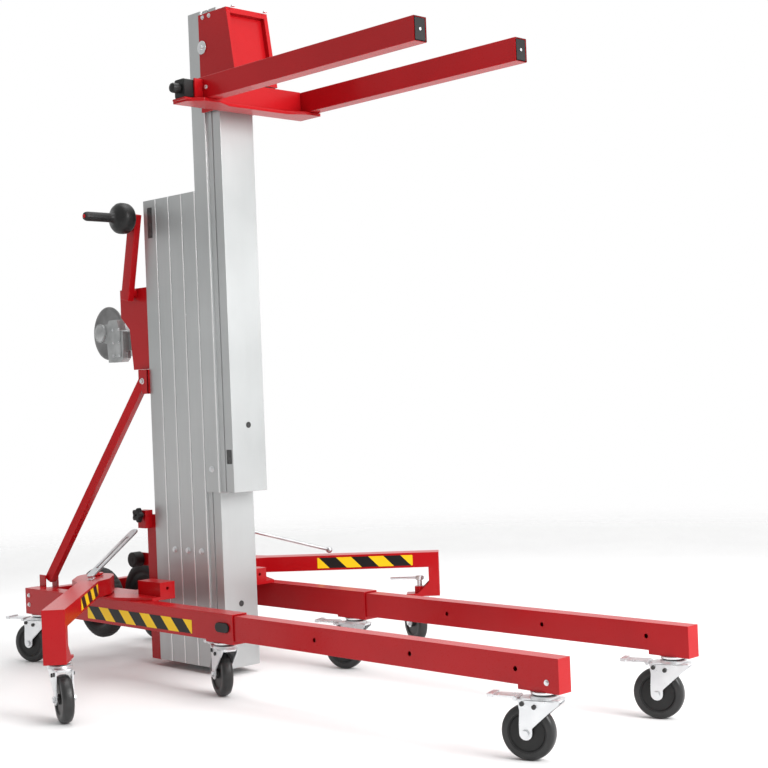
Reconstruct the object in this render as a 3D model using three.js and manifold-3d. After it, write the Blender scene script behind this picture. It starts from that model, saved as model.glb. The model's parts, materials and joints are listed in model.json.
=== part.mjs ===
// Material lift with a telescopic aluminium mast, two lifting forks and a wheeled base.
// Millimetres. +X points to the load side, +Y to the left of the operator, +Z up.
import * as THREE from "three";
import { mergeVertices } from "three/addons/utils/BufferGeometryUtils.js";
import Module from "manifold-3d";

const wasm = await Module();
wasm.setup();

// ---------------------------------------------------------------- driving dimensions
const GAP = 0.3;
const SIDES = { near: -1, far: 1 };
const ROUND = 20;

// Base rails and the legs that slide inside them
const RAIL = { rear: -634, front: 430, centreY: 247, width: 50, bottom: 161, top: 237, wall: 3 };
const LEG = { rear: 291, front: 1547, width: 42, bottom: 165, top: 233, wall: 3 };
const PLATE_Z = 155;
const SLEEVE_PAD = { from: 310, to: 430 };
const LEG_PAD = { from: 1430, to: 1547 };
const REAR_PAD = { from: -634, to: -530 };
const BLOCK = { from: -105, to: 7, inner: 150, outer: 203, height: 50, hole: 5 };
const LEG_HOLES = [755, 1095, 1424];
const LEG_HOLE_RADIUS = 6;
const LOCK = { x: 386, z: 199, length: 58, height: 26, proud: 5 };

// Casters
const CASTER = { radius: 62.5, width: 34, trail: 39, axleRadius: 5, legGap: 20, legThick: 4 };
const SWIVEL = { front: 1488, sleeve: 362, rear: -582 };

// Mast
const COLUMNS = 5;
const MAST = { bottom: 22, length: 1420, pitch: 66, firstFront: -67, raised: 523 };
const BOX = { half: 62, depth: 66, wall: 3, sideWall: 8 };
const WING = { inner: 63.2, outer: 67.2, depth: 66 };
const FLANGE = 4;
const GROOVE = { from: -40, to: -34, depth: 4 };
const RIB_INWARD = 2.6;

// Forks and head
const FORK = { rear: 264, front: 1136, centreY: 187, width: 44, bottom: 1660, top: 1722, wall: 3 };
const CROSSBAR = { rear: 241, front: 300, nearEnd: -262, farEnd: 212, bottom: 1650 };
const HEAD = { rear: 132, front: 240, half: 77, wall: 8, bottom: 1664, top: 1950, coverTop: 262, coverFoot: 298 };
const HEAD_AXLE = { x: 146, z: 1853, radius: 8, washer: 20 };

// Winch
const WINCH = { x: -452, z: 1046, drumRadius: 52, flange: 86 };
const CRANK = { x: -266, z: 1162, reach: 232, tilt: 13 };
const GRIP_LENGTH = 172;

// Stabilizers
const PIVOT = { x: -267, y: 245 };
const ARM = { heading: 42, length: 694, width: 60, bottom: 249, top: 297 };
const ROOT = { radius: 56, reach: 150, hole: 13 };
const POST = { thick: 34, bottom: 155 };
const SCREW = { radius: 645, nutTop: 185, top: 212 };

// Transport wheels
const TRANSPORT = { x: -473, y: 90, z: 180, radius: 112, width: 46, axle: 12 };

// ---------------------------------------------------------------- materials
const RED = { color: 0xa81016, roughness: 0.35, metalness: 0.1 };
const ALUMINIUM = { color: 0xc6c9ca, roughness: 0.4, metalness: 0.8 };
const ZINC = { color: 0xd9dcde, roughness: 0.3, metalness: 0.85 };
const STEEL = { color: 0xa4a8aa, roughness: 0.4, metalness: 0.8 };
const BLACK = { color: 0x24262a, roughness: 0.6, metalness: 0.0 };
const RUBBER = { color: 0x303030, roughness: 0.8, metalness: 0.0 };
const CASTING = { color: 0xb4b8b8, roughness: 0.55, metalness: 0.6 };

// ---------------------------------------------------------------- geometry helpers
const model = new THREE.Group();

function solidOf(geometry) {
  const plain = geometry.clone();
  plain.deleteAttribute("normal");
  plain.deleteAttribute("uv");
  const merged = mergeVertices(plain, 1e-4);
  return new wasm.Manifold(new wasm.Mesh({
    numProp: 3,
    vertProperties: new Float32Array(merged.attributes.position.array),
    triVerts: new Uint32Array(merged.index.array),
  }));
}

function geometryOf(solid) {
  const mesh = solid.getMesh();
  const geometry = new THREE.BufferGeometry();
  geometry.setAttribute("position", new THREE.BufferAttribute(new Float32Array(mesh.vertProperties), 3));
  geometry.setIndex(new THREE.BufferAttribute(new Uint32Array(mesh.triVerts), 1));
  geometry.computeVertexNormals();
  return geometry;
}

function moved(geometry, x, y, z) {
  return geometry.translate(x, y, z);
}

// A box from its two extents along each axis.
function slab(x, y, z) {
  const geometry = new THREE.BoxGeometry(x[1] - x[0], y[1] - y[0], z[1] - z[0]);
  geometry.translate((x[0] + x[1]) / 2, (y[0] + y[1]) / 2, (z[0] + z[1]) / 2);
  return solidOf(geometry);
}

// A cylinder along the named axis, centred on the given point.
function rod(axis, radius, length, at = [0, 0, 0], sides = ROUND, topRadius = radius) {
  const geometry = new THREE.CylinderGeometry(topRadius, radius, length, sides);
  if (axis === "x") geometry.rotateZ(-Math.PI / 2);
  if (axis === "z") geometry.rotateX(Math.PI / 2);
  return solidOf(moved(geometry, ...at));
}

function shapeOf(points, holes = []) {
  const shape = new THREE.Shape(points.map(([x, y]) => new THREE.Vector2(x, y)));
  for (const hole of holes) {
    shape.holes.push(new THREE.Path(hole.map(([x, y]) => new THREE.Vector2(x, y))));
  }
  return shape;
}

// An XY outline raised from z = bottom by the height.
function prismZ(points, bottom, height, holes = []) {
  const settings = { depth: height, bevelEnabled: false, curveSegments: 6 };
  return solidOf(moved(new THREE.ExtrudeGeometry(shapeOf(points, holes), settings), 0, 0, bottom));
}

// An XZ outline with the given thickness along Y, centred on y.
function prismY(points, y, thickness, holes = []) {
  const settings = { depth: thickness, bevelEnabled: false, curveSegments: 6 };
  const geometry = new THREE.ExtrudeGeometry(shapeOf(points, holes), settings);
  geometry.rotateX(Math.PI / 2);
  return solidOf(moved(geometry, 0, y + thickness / 2, 0));
}

// A YZ outline with the given length along X, starting at x.
function prismX(points, x, length, holes = []) {
  const settings = { depth: length, bevelEnabled: false, curveSegments: 6 };
  const geometry = new THREE.ExtrudeGeometry(shapeOf(points, holes), settings);
  geometry.rotateX(Math.PI / 2);
  geometry.rotateZ(Math.PI / 2);
  return solidOf(moved(geometry, x, 0, 0));
}

function oblong(length, height, arcs = 6) {
  const points = [];
  const radius = height / 2;
  const reach = length / 2 - radius;
  for (let i = 0; i <= arcs; i += 1) {
    const angle = -Math.PI / 2 + (Math.PI * i) / arcs;
    points.push([reach + radius * Math.cos(angle), radius * Math.sin(angle)]);
  }
  for (let i = 0; i <= arcs; i += 1) {
    const angle = Math.PI / 2 + (Math.PI * i) / arcs;
    points.push([-reach + radius * Math.cos(angle), radius * Math.sin(angle)]);
  }
  return points;
}

function join(...solids) {
  return solids.reduce((sum, next) => sum.add(next));
}

function place(name, solid, finish, parent = model) {
  const mesh = new THREE.Mesh(geometryOf(solid), new THREE.MeshStandardMaterial(finish));
  mesh.name = name;
  parent.add(mesh);
  return mesh;
}

// A group turned about +Z and moved to (x, y, z).
function turnedGroup(x, y, z, degrees) {
  const group = new THREE.Group();
  group.position.set(x, y, z);
  group.rotation.z = THREE.MathUtils.degToRad(degrees);
  model.add(group);
  return group;
}

const rectangle = (x0, x1, y0, y1) => [[x0, y0], [x1, y0], [x1, y1], [x0, y1]];

// ---------------------------------------------------------------- base rails and legs
function railSolid(side) {
  const outer = [RAIL.centreY - RAIL.width / 2, RAIL.centreY + RAIL.width / 2];
  const y = side < 0 ? [-outer[1], -outer[0]] : outer;
  const bore = [y[0] + RAIL.wall, y[1] - RAIL.wall];
  let rail = slab([RAIL.rear, RAIL.front], y, [RAIL.bottom, RAIL.top]);
  for (const pad of [SLEEVE_PAD, REAR_PAD]) {
    rail = rail.add(slab([pad.from, pad.to], y, [PLATE_Z, RAIL.bottom + 1]));
  }
  rail = rail.add(blockSolid(side)).add(pivotPlate(side));
  rail = rail.subtract(slab([RAIL.rear + 6, RAIL.front + 1], bore, [RAIL.bottom + RAIL.wall, RAIL.top - RAIL.wall]));
  return rail.subtract(lockWindow(side));
}

// The short square tube welded inboard of each rail, drilled in its front face.
function blockSolid(side) {
  const y = side < 0 ? [-BLOCK.outer, -BLOCK.inner] : [BLOCK.inner, BLOCK.outer];
  const top = RAIL.top + BLOCK.height;
  const hole = rod("x", BLOCK.hole, 30, [BLOCK.to, (y[0] + y[1]) / 2, RAIL.top + BLOCK.height * 0.62], 12);
  return slab([BLOCK.from, BLOCK.to], y, [RAIL.top - 1, top]).subtract(hole);
}

// A welded plate on the rail with the pivot pin that the arm turns on.
const PIVOT_PLATE = { rear: -350, front: 7, inner: 150, outer: 290, bottom: RAIL.top - 1, top: 246 };
function pivotPlate(side) {
  const { rear, front, inner, outer, bottom, top } = PIVOT_PLATE;
  const corner = 130;
  const outline = [
    [rear, inner + 40], [rear + 60, inner], [front, inner], [front, BLOCK.outer + 30],
    [front - corner, outer], [rear, outer],
  ];
  const plate = prismZ(outline.map(([x, y]) => [x, side * y]), bottom, top - bottom);
  const pin = rod("z", ROOT.hole, 70, [PIVOT.x, side * PIVOT.y, PIVOT_PLATE.top + 34], 16);
  const cap = rod("z", 24, 6, [PIVOT.x, side * PIVOT.y, ARM.top + 5], 16);
  return join(plate, pin, cap);
}

function lockWindow(side) {
  const outline = oblong(LOCK.length + 1.2, LOCK.height + 1.2).map(([x, z]) => [x + LOCK.x, z + LOCK.z]);
  return prismY(outline, side * (RAIL.centreY + RAIL.width / 2 - 2), RAIL.wall * 2 + 1);
}

function legSolid(side) {
  const y = [side * RAIL.centreY - LEG.width / 2, side * RAIL.centreY + LEG.width / 2];
  let leg = slab([LEG.rear, LEG.front], y, [LEG.bottom, LEG.top]);
  leg = leg.add(slab([LEG_PAD.from, LEG_PAD.to], y, [PLATE_Z, LEG.bottom + 1]));
  leg = leg.subtract(slab(
    [LEG.rear - 1, LEG.front - 5],
    [y[0] + LEG.wall, y[1] - LEG.wall],
    [LEG.bottom + LEG.wall, LEG.top - LEG.wall],
  ));
  for (const x of LEG_HOLES) {
    leg = leg.subtract(rod("y", LEG_HOLE_RADIUS, LEG.width + 2, [x, side * RAIL.centreY, 199], 10));
  }
  return leg;
}

// A push button that sinks into the rail's side wall to free the leg.
function lockButton(side) {
  const outerFace = RAIL.centreY + RAIL.width / 2;
  const inner = outerFace + GAP;
  const outline = oblong(LOCK.length, LOCK.height).map(([x, z]) => [x + LOCK.x, z + LOCK.z]);
  return prismY(outline, side * (inner + LOCK.proud / 2), LOCK.proud);
}

for (const [name, side] of Object.entries(SIDES)) {
  place(`rail_${name}`, railSolid(side), RED);
  place(`leg_${name}`, legSolid(side), RED);
  place(`lock_button_${name}`, lockButton(side), BLACK);
}

// ---------------------------------------------------------------- base cross members
const railInner = RAIL.centreY - RAIL.width / 2 - GAP;
const CROSS = { mid: [-302, -242], rear: [-630, -596], bottom: 168, top: 230 };

place("cross_tube_mid", slab(CROSS.mid, [-railInner, railInner], [CROSS.bottom, CROSS.top]), RED);

// The rear tube carries the lug that the diagonal brace is bolted to.
const LUG = { x: -604, y: -196, gap: 42, z: 258 };
function rearCrossTube() {
  const tube = slab(CROSS.rear, [-railInner, railInner], [CROSS.bottom, CROSS.top]);
  const cheeks = [-1, 1].map((edge) => {
    const y = LUG.y + edge * (LUG.gap / 2 + 2);
    return slab([CROSS.rear[0], CROSS.rear[1]], [y - 2, y + 2], [CROSS.top - 1, LUG.z + 16]);
  });
  return join(tube, ...cheeks);
}
place("cross_tube_rear", rearCrossTube(), RED);

// ---------------------------------------------------------------- mast frame behind the columns
const WING_REAR = -BOX.depth - WING.depth + FLANGE + 2 * GAP;
const COLUMN_REAR = MAST.firstFront + WING_REAR;
const FRAME = { rear: -241, front: COLUMN_REAR - GAP, half: 65, bottom: 20, top: 470, wall: 5 };

function mastFrame() {
  const web = slab([FRAME.front - FRAME.wall, FRAME.front], [-FRAME.half, FRAME.half], [FRAME.bottom, FRAME.top]);
  const flanges = [-1, 1].map((side) => {
    const y = side < 0 ? [-FRAME.half, -FRAME.half + FRAME.wall] : [FRAME.half - FRAME.wall, FRAME.half];
    return slab([FRAME.rear, FRAME.front], y, [FRAME.bottom, FRAME.top]);
  });
  const tongue = slab([FRAME.front - 1, MAST.firstFront - BOX.depth - GAP], [-30, 30], [FRAME.bottom, FRAME.top - 20]);
  const shelf = slab([FRAME.rear, FRAME.front], [-FRAME.half, FRAME.half], [FRAME.bottom, FRAME.bottom + 6]);
  const ears = [-1, 1].map((side) => {
    const y = side < 0 ? [-92, -FRAME.half + 1] : [FRAME.half - 1, 92];
    return slab([-252, -212], y, [428, 484]);
  });
  const rollerArms = [-1, 1].map((side) => slab([-352, FRAME.rear + 1], [side * 20 - 3, side * 20 + 3], [300, 340]));
  const rollerFoot = slab([FRAME.rear - 1, FRAME.rear + 6], [-FRAME.half, FRAME.half], [300, 340]);
  const rollerHole = rod("y", 6.4, 200, [-340, 0, 320], 12);
  return join(web, ...flanges, tongue, shelf, ...ears, ...rollerArms, rollerFoot).subtract(rollerHole);
}
place("mast_frame", mastFrame(), RED);

// A rubber roller that the lift rests on while it is slid into a van.
const rollerDrums = [-1, 1].map((side) => rod("y", 24, 38, [-340, side * 44, 320]));
const rollerBody = join(rod("y", 6, 116, [-340, 0, 320], 12), ...rollerDrums);
place("loading_roller", rollerBody, RUBBER);

// ---------------------------------------------------------------- transport wheels
function transportWheel() {
  const half = TRANSPORT.width / 2;
  const bore = TRANSPORT.axle + GAP;
  const profile = [
    [bore, -half + 3], [78, -half + 8], [84, -half], [TRANSPORT.radius - 8, -half],
    [TRANSPORT.radius, -half + 8], [TRANSPORT.radius, half - 8], [TRANSPORT.radius - 8, half],
    [84, half], [78, half - 8], [bore, half - 3], [bore, -half + 3],
  ].map(([r, y]) => new THREE.Vector2(r, y));
  return solidOf(new THREE.LatheGeometry(profile, ROUND));
}

for (const [name, side] of Object.entries(SIDES)) {
  const wheel = place(`transport_wheel_${name}`, transportWheel(), RUBBER);
  wheel.position.set(TRANSPORT.x, side * TRANSPORT.y, TRANSPORT.z);
}

function transportAxle() {
  const at = [TRANSPORT.x, 0, TRANSPORT.z];
  const collars = [-1, 1].map((side) => {
    const edge = TRANSPORT.y + TRANSPORT.width / 2;
    return rod("y", 20, 10, [at[0], side * (edge + 6), at[2]], 12);
  });
  return join(rod("y", TRANSPORT.axle, 2 * railInner, at, 12), ...collars);
}
place("transport_axle", transportAxle(), STEEL);

// ---------------------------------------------------------------- casters
function casterWheel() {
  const half = CASTER.width / 2;
  const rim = CASTER.radius / Math.cos(Math.PI / ROUND);
  const bore = CASTER.axleRadius + GAP;
  const profile = [
    [bore, -half], [46, -half + 2], [rim - 5, -half + 2], [rim, -half + 8],
    [rim, half - 8], [rim - 5, half - 2], [46, half - 2], [bore, half], [bore, -half],
  ].map(([r, y]) => new THREE.Vector2(r, y));
  const geometry = new THREE.LatheGeometry(profile, ROUND);
  geometry.rotateY(Math.PI / ROUND);
  return solidOf(geometry);
}

// Trail points along the caster's own +X, so the axle sits at (trail, 0, radius).
function casterFork() {
  const { trail, radius, axleRadius, legGap, legThick } = CASTER;
  const crownTop = 140;
  const leg = (side) => prismY([
    [-44, crownTop - 2], [-40, crownTop - 12], [trail - 13, radius + 4], [trail - 8, radius - 10],
    [trail + 8, radius - 10], [trail + 13, radius + 4], [trail + 15, crownTop - 14], [trail + 17, crownTop - 2],
  ], side * (legGap + legThick / 2), legThick);
  const crown = slab([-44, trail + 17], [-legGap - legThick, legGap + legThick], [crownTop - 7, crownTop]);
  const race = rod("z", 30, 10, [0, 0, crownTop + 4], 16, 22);
  const stem = rod("z", 13, PLATE_Z - GAP - crownTop, [0, 0, (PLATE_Z - GAP + crownTop) / 2], 12);
  const axle = rod("y", axleRadius, 2 * (legGap + legThick + 6), [trail, 0, radius], 12);
  return join(crown, leg(-1), leg(1), race, stem, axle);
}

const PEDAL = { x: 62, z: 137 };
// A foot pedal hinged on the fork's trailing edge, over the wheel.
function casterPedal() {
  const plate = slab([PEDAL.x - 3, PEDAL.x + 66], [-18, 18], [PEDAL.z + 1, PEDAL.z + 6]);
  const hub = rod("y", 5, 44, [PEDAL.x, 0, PEDAL.z], 12);
  const toe = slab([PEDAL.x + 52, PEDAL.x + 66], [-22, 22], [PEDAL.z + 1, PEDAL.z + 9]);
  return join(plate, hub, toe);
}

function caster(name, x, y, heading, braked) {
  const group = turnedGroup(x, y, 0, heading);
  place(`caster_fork_${name}`, casterFork(), ZINC, group);
  const wheel = place(`caster_wheel_${name}`, casterWheel(), RUBBER, group);
  wheel.position.set(CASTER.trail, 0, CASTER.radius);
  if (braked) place(`caster_pedal_${name}`, casterPedal(), ZINC, group);
}

const TRAILING = 200;
caster("front_near", SWIVEL.front, -RAIL.centreY, TRAILING, true);
caster("front_far", SWIVEL.front, RAIL.centreY, TRAILING, true);
caster("sleeve_near", SWIVEL.sleeve, -RAIL.centreY, 160, true);
caster("sleeve_far", SWIVEL.sleeve, RAIL.centreY, TRAILING, true);
caster("rear_near", SWIVEL.rear, -RAIL.centreY, TRAILING, true);
caster("rear_far", SWIVEL.rear, RAIL.centreY, TRAILING, true);

// ---------------------------------------------------------------- stabilizers
// Each arm is drawn with its pivot at the origin and its length along +X.
const POST_AT = ARM.length - POST.thick / 2;

function stabilizerArm() {
  const half = ARM.width / 2;
  const root = [];
  const steps = 8;
  for (let i = 0; i <= steps; i += 1) {
    const angle = Math.PI / 2 + (Math.PI * i) / steps;
    root.push([ROOT.radius * Math.cos(angle), ROOT.radius * Math.sin(angle)]);
  }
  const outline = [
    ...root, [ROOT.reach - 60, -ROOT.radius], [ROOT.reach, -half],
    [ARM.length + POST.thick / 2, -half], [ARM.length + POST.thick / 2, half],
    [ROOT.reach, half], [ROOT.reach - 60, ROOT.radius],
  ];
  const beam = prismZ(outline, ARM.bottom, ARM.top - ARM.bottom);
  const post = slab([POST_AT, POST_AT + POST.thick], [-half, half], [POST.bottom, ARM.bottom + 1]);
  const foot = slab([SCREW.radius - 42, POST_AT + 1], [-half, half], [POST.bottom, POST.bottom + 8]);
  const gusset = (side) => prismY([
    [POST_AT - 40, POST.bottom + 7], [POST_AT + 1, POST.bottom + 7], [POST_AT + 1, POST.bottom + 46],
  ], side * (half - 2), 4);
  const nut = rod("z", 18, SCREW.nutTop - POST.bottom - 7, [SCREW.radius, 0, (SCREW.nutTop + POST.bottom + 7) / 2], 6);
  const pinHole = rod("z", ROOT.hole + GAP, 200, [0, 0, ARM.top], 16);
  const screwHole = rod("z", 8 + GAP, 200, [SCREW.radius, 0, POST.bottom], 16);
  return join(beam, post, foot, gusset(-1), gusset(1), nut).subtract(pinHole).subtract(screwHole);
}

// The levelling screw turns in the arm's nut and carries the stabilizer caster.
function levellingScrew() {
  const at = [SCREW.radius, 0];
  const screw = rod("z", 8, SCREW.top - POST.bottom, [...at, (SCREW.top + POST.bottom) / 2], 16);
  const head = rod("z", 12, 14, [...at, SCREW.top], 12);
  const bar = rod("x", 4, 110, [SCREW.radius - 39, 0, SCREW.top], 10);
  return join(screw, head, bar);
}

for (const [name, side] of Object.entries(SIDES)) {
  const heading = side * ARM.heading;
  const group = turnedGroup(PIVOT.x, side * PIVOT.y, 0, heading);
  place(`stabilizer_${name}`, stabilizerArm(), RED, group);
  place(`levelling_screw_${name}`, levellingScrew(), ZINC, group);
  const angle = THREE.MathUtils.degToRad(heading);
  const x = PIVOT.x + SCREW.radius * Math.cos(angle);
  const y = side * PIVOT.y + SCREW.radius * Math.sin(angle);
  caster(`stabilizer_${name}`, x, y, side < 0 ? -20 : 160, false);
}

// ---------------------------------------------------------------- stays
// A bar between two points, built along +X and then aimed.
function aimed(from, to) {
  const start = new THREE.Vector3(...from);
  const end = new THREE.Vector3(...to);
  const along = end.clone().sub(start).normalize();
  const side = new THREE.Vector3(0, 0, 1).cross(along).normalize();
  const up = along.clone().cross(side);
  const group = new THREE.Group();
  group.quaternion.setFromRotationMatrix(new THREE.Matrix4().makeBasis(along, side, up));
  group.position.copy(start);
  model.add(group);
  return { group, length: end.distanceTo(start) };
}

const STAY = {
  near: { foot: [-170, -322, 314], head: [-233, -123, 420] },
  far: { foot: [7, 472, 314], head: [-240, 102, 446] },
};

function nearStay() {
  const { group, length } = aimed(STAY.near.foot, STAY.near.head);
  const outline = oblong(length + 26, 26, 5).map(([x, y]) => [x + length / 2, y]);
  const slot = oblong(length - 60, 9, 3).map(([x, y]) => [x + length / 2, y]).reverse();
  place("stay_near", prismZ(outline, -3, 6, [slot]), STEEL, group);
}

function farStay() {
  const { group, length } = aimed(STAY.far.foot, STAY.far.head);
  const bar = rod("x", 5, length, [length / 2, 0, 0], 10);
  const ball = solidOf(new THREE.SphereGeometry(11, 12, 8));
  place("stay_far", join(bar, ball), STEEL, group);
}
nearStay();
farStay();

// The star knob that clamps the near stay to the mast frame's ear.
const KNOB = { x: -232, z: 470 };
function starKnob() {
  const outline = [];
  const steps = 30;
  for (let i = 0; i < steps; i += 1) {
    const angle = (2 * Math.PI * i) / steps;
    const radius = 20 + 3.5 * Math.cos(5 * angle);
    outline.push([KNOB.x + radius * Math.cos(angle), KNOB.z + radius * Math.sin(angle)]);
  }
  return join(prismY(outline, -106, 18), rod("y", 9, 12, [KNOB.x, -98.3, KNOB.z], 12));
}
place("stay_knob", starKnob(), BLACK);

// ---------------------------------------------------------------- diagonal brace
const BRACE = { width: 28, top: { x: -226, y: -60, z: 896 } };
function brace() {
  const { group, length } = aimed([LUG.x - 2, LUG.y, LUG.z - 2], [BRACE.top.x, BRACE.top.y, BRACE.top.z]);
  const half = BRACE.width / 2;
  const tube = slab([0, length], [-half, half], [-half, half]);
  place("brace", tube, RED, group);
}
brace();

// ---------------------------------------------------------------- mast columns
// Outline of one extrusion, with x = 0 on its front face. Side ribs of the next
// column run in the grooves of this one.
function columnOutline() {
  const upper = [
    [0, BOX.half], [GROOVE.to, BOX.half], [GROOVE.to, BOX.half - GROOVE.depth],
    [GROOVE.from, BOX.half - GROOVE.depth], [GROOVE.from, BOX.half],
    [-BOX.depth + FLANGE, BOX.half], [-BOX.depth + FLANGE, WING.outer], [WING_REAR, WING.outer],
    [WING_REAR, WING.inner],
    [GROOVE.from - BOX.depth + 1, WING.inner], [GROOVE.from - BOX.depth + 1, WING.inner - RIB_INWARD],
    [GROOVE.to - BOX.depth - 1, WING.inner - RIB_INWARD], [GROOVE.to - BOX.depth - 1, WING.inner],
    [-BOX.depth, WING.inner],
  ];
  const lower = upper.map(([x, y]) => [x, -y]).reverse();
  return [...upper, ...lower];
}

function columnSolid() {
  const cavity = rectangle(-BOX.depth + BOX.wall, -BOX.wall, -BOX.half + BOX.sideWall, BOX.half - BOX.sideWall);
  return prismZ(columnOutline(), 0, MAST.length, [cavity]);
}

for (let i = 0; i < COLUMNS; i += 1) {
  const raised = i === COLUMNS - 1 ? MAST.raised : 0;
  const at = [MAST.firstFront + i * MAST.pitch, 0, MAST.bottom + raised];
  const column = columnSolid().translate(at);
  place(`mast_column_${i + 1}`, raised ? column.subtract(headAxleHole()) : column, ALUMINIUM);
}

// ---------------------------------------------------------------- head and forks
const TOP_FRONT = MAST.firstFront + (COLUMNS - 1) * MAST.pitch;

// A red shell that grips the top of the last column and flares forward.
function headShell() {
  const inner = HEAD.half - HEAD.wall;
  const cheeks = [-1, 1].map((side) => {
    const y = side < 0 ? [-HEAD.half, -inner] : [inner, HEAD.half];
    return slab([HEAD.rear, HEAD.front], y, [HEAD.bottom, HEAD.top]);
  });
  const face = slab([HEAD.front - 40, HEAD.front], [-inner - 1, inner + 1], [HEAD.bottom, HEAD.top]);
  const foot = FORK.top + 4;
  const cover = prismY([
    [HEAD.front - 1, foot], [HEAD.coverFoot, foot], [HEAD.coverTop, HEAD.top], [HEAD.front - 1, HEAD.top],
  ], 0, 2 * HEAD.half);
  const pocket = prismY([
    [HEAD.front - 32, foot + 30], [HEAD.coverFoot - 32, foot + 30], [HEAD.coverTop - 26, HEAD.top + 1],
    [HEAD.front - 32, HEAD.top + 1],
  ], 0, 2 * HEAD.half - 20);
  const recess = prismY([
    [HEAD.coverFoot - 19, foot + 22], [HEAD.coverFoot + 20, foot + 22], [HEAD.coverTop + 20, HEAD.top - 16],
    [HEAD.coverTop - 13, HEAD.top - 16],
  ], 0, 2 * HEAD.half - 26);
  return join(...cheeks, face, cover).subtract(pocket).subtract(recess).subtract(headAxleHole());
}

function headAxleHole() {
  return rod("y", HEAD_AXLE.radius + GAP, 3 * HEAD.half, [HEAD_AXLE.x, 0, HEAD_AXLE.z], 12);
}

function headAxle() {
  const at = [HEAD_AXLE.x, 0, HEAD_AXLE.z];
  const length = 2 * HEAD.half + 18;
  const washers = [-1, 1].map((side) => {
    return rod("y", HEAD_AXLE.washer, 3, [at[0], side * (HEAD.half + 1.8), at[2]], 16);
  });
  return join(rod("y", HEAD_AXLE.radius, length, at, 12), ...washers);
}
place("head_shell", headShell(), RED);
place("head_axle", headAxle(), ZINC);

// A box bar between the forks, on a plate that both forks are bolted down to.
function crossbar() {
  const { rear, front, nearEnd, farEnd, bottom } = CROSSBAR;
  const inner = FORK.centreY - FORK.width / 2 - GAP;
  const bar = slab([rear, front], [-inner, inner], [bottom, FORK.top]);
  const plate = prismZ([
    [rear, nearEnd], [front, nearEnd], [front + 34, nearEnd + 40], [front + 34, nearEnd + 100],
    [front + 8, nearEnd + 150], [front + 8, farEnd - 110], [front + 34, farEnd - 60],
    [front + 34, farEnd], [rear, farEnd],
  ], bottom, FORK.bottom - GAP - bottom);
  return join(bar, plate);
}
place("fork_crossbar", crossbar(), RED);

function forkSolid(side) {
  const y = [side * FORK.centreY - FORK.width / 2, side * FORK.centreY + FORK.width / 2];
  const tube = slab([FORK.rear, FORK.front], y, [FORK.bottom, FORK.top]);
  const bore = slab(
    [FORK.rear + 6, FORK.front + 1],
    [y[0] + FORK.wall, y[1] - FORK.wall],
    [FORK.bottom + FORK.wall, FORK.top - FORK.wall],
  );
  return tube.subtract(bore);
}
for (const [name, side] of Object.entries(SIDES)) {
  place(`fork_${name}`, forkSolid(side), RED);
}

// Spring plunger on the near end of the crossbar.
const LATCH = { x: 285, z: 1686, stem: 68, knob: 22 };
function latchKnob() {
  const forkFace = FORK.centreY + FORK.width / 2;
  const knob = rod("y", 14, LATCH.knob, [LATCH.x, -forkFace - LATCH.stem - LATCH.knob / 2, LATCH.z], 16);
  const stem = rod("y", 7, LATCH.stem + 1, [LATCH.x, -forkFace - GAP - (LATCH.stem + 1) / 2, LATCH.z], 12);
  return join(knob, stem);
}
place("fork_latch_knob", latchKnob(), BLACK);

// ---------------------------------------------------------------- winch
const BRACKET = { rear: -345, front: COLUMN_REAR - GAP, half: 62, bottom: 922, top: 1177, wall: 6 };

function winchBracket() {
  const web = slab([BRACKET.front - 8, BRACKET.front], [-BRACKET.half, BRACKET.half], [BRACKET.bottom, BRACKET.top]);
  const nearCheek = prismY([
    [BRACKET.front - 1, BRACKET.bottom], [BRACKET.front - 1, BRACKET.top], [BRACKET.rear, BRACKET.top],
    [BRACKET.rear, 1090], [-300, 1050], [-285, BRACKET.bottom],
  ], -BRACKET.half + BRACKET.wall / 2, BRACKET.wall);
  const farCheek = prismY([
    [BRACKET.front - 1, BRACKET.bottom], [BRACKET.front - 1, BRACKET.top], [-300, BRACKET.top],
    [-300, BRACKET.bottom],
  ], BRACKET.half - BRACKET.wall / 2, BRACKET.wall);
  const bolt = rod("y", 9.3, 60, [CRANK.x, -BRACKET.half, CRANK.z], 16);
  return join(web, nearCheek, farCheek).subtract(bolt);
}
place("winch_bracket", winchBracket(), RED);

// The gear case stands on the bracket's web and holds the drum on a stub axle.
const CASE = { near: -68, far: -40, bottom: 950, top: 1085 };
function winchHousing() {
  const arm = slab([-345, BRACKET.front - 8 - GAP], [-46, 46], [985, 1046]);
  const gearcase = prismY([
    [-330, 962], [-330, 1046], [-352, 1052], [-360, CASE.top], [-405, CASE.top], [-414, 1074],
    [-462, 1070], [-470, 1040], [-456, 1020], [-420, 1010], [-414, CASE.bottom], [-345, CASE.bottom],
  ], (CASE.near + CASE.far) / 2, CASE.far - CASE.near);
  const boss = rod("y", 30, 8, [WINCH.x, CASE.near - 2, WINCH.z], ROUND);
  const axle = rod("y", 12, 106, [WINCH.x, 12, WINCH.z], 16);
  const collar = rod("y", 20, 5, [WINCH.x, 67, WINCH.z], 16);
  return join(arm, gearcase, boss, axle, collar);
}
place("winch_housing", winchHousing(), CASTING);

function ringAboutY(profile, sides) {
  return solidOf(new THREE.LatheGeometry(profile.map(([r, y]) => new THREE.Vector2(r, y)), sides));
}

const guard = place("winch_guard", ringAboutY([
  [12 + GAP, -39.7], [WINCH.flange - 8, -39.7], [WINCH.flange, -37], [WINCH.flange, -34.3],
  [12 + GAP, -34.3], [12 + GAP, -39.7],
], 32), BLACK);
guard.position.set(WINCH.x, 0, WINCH.z);

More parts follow.
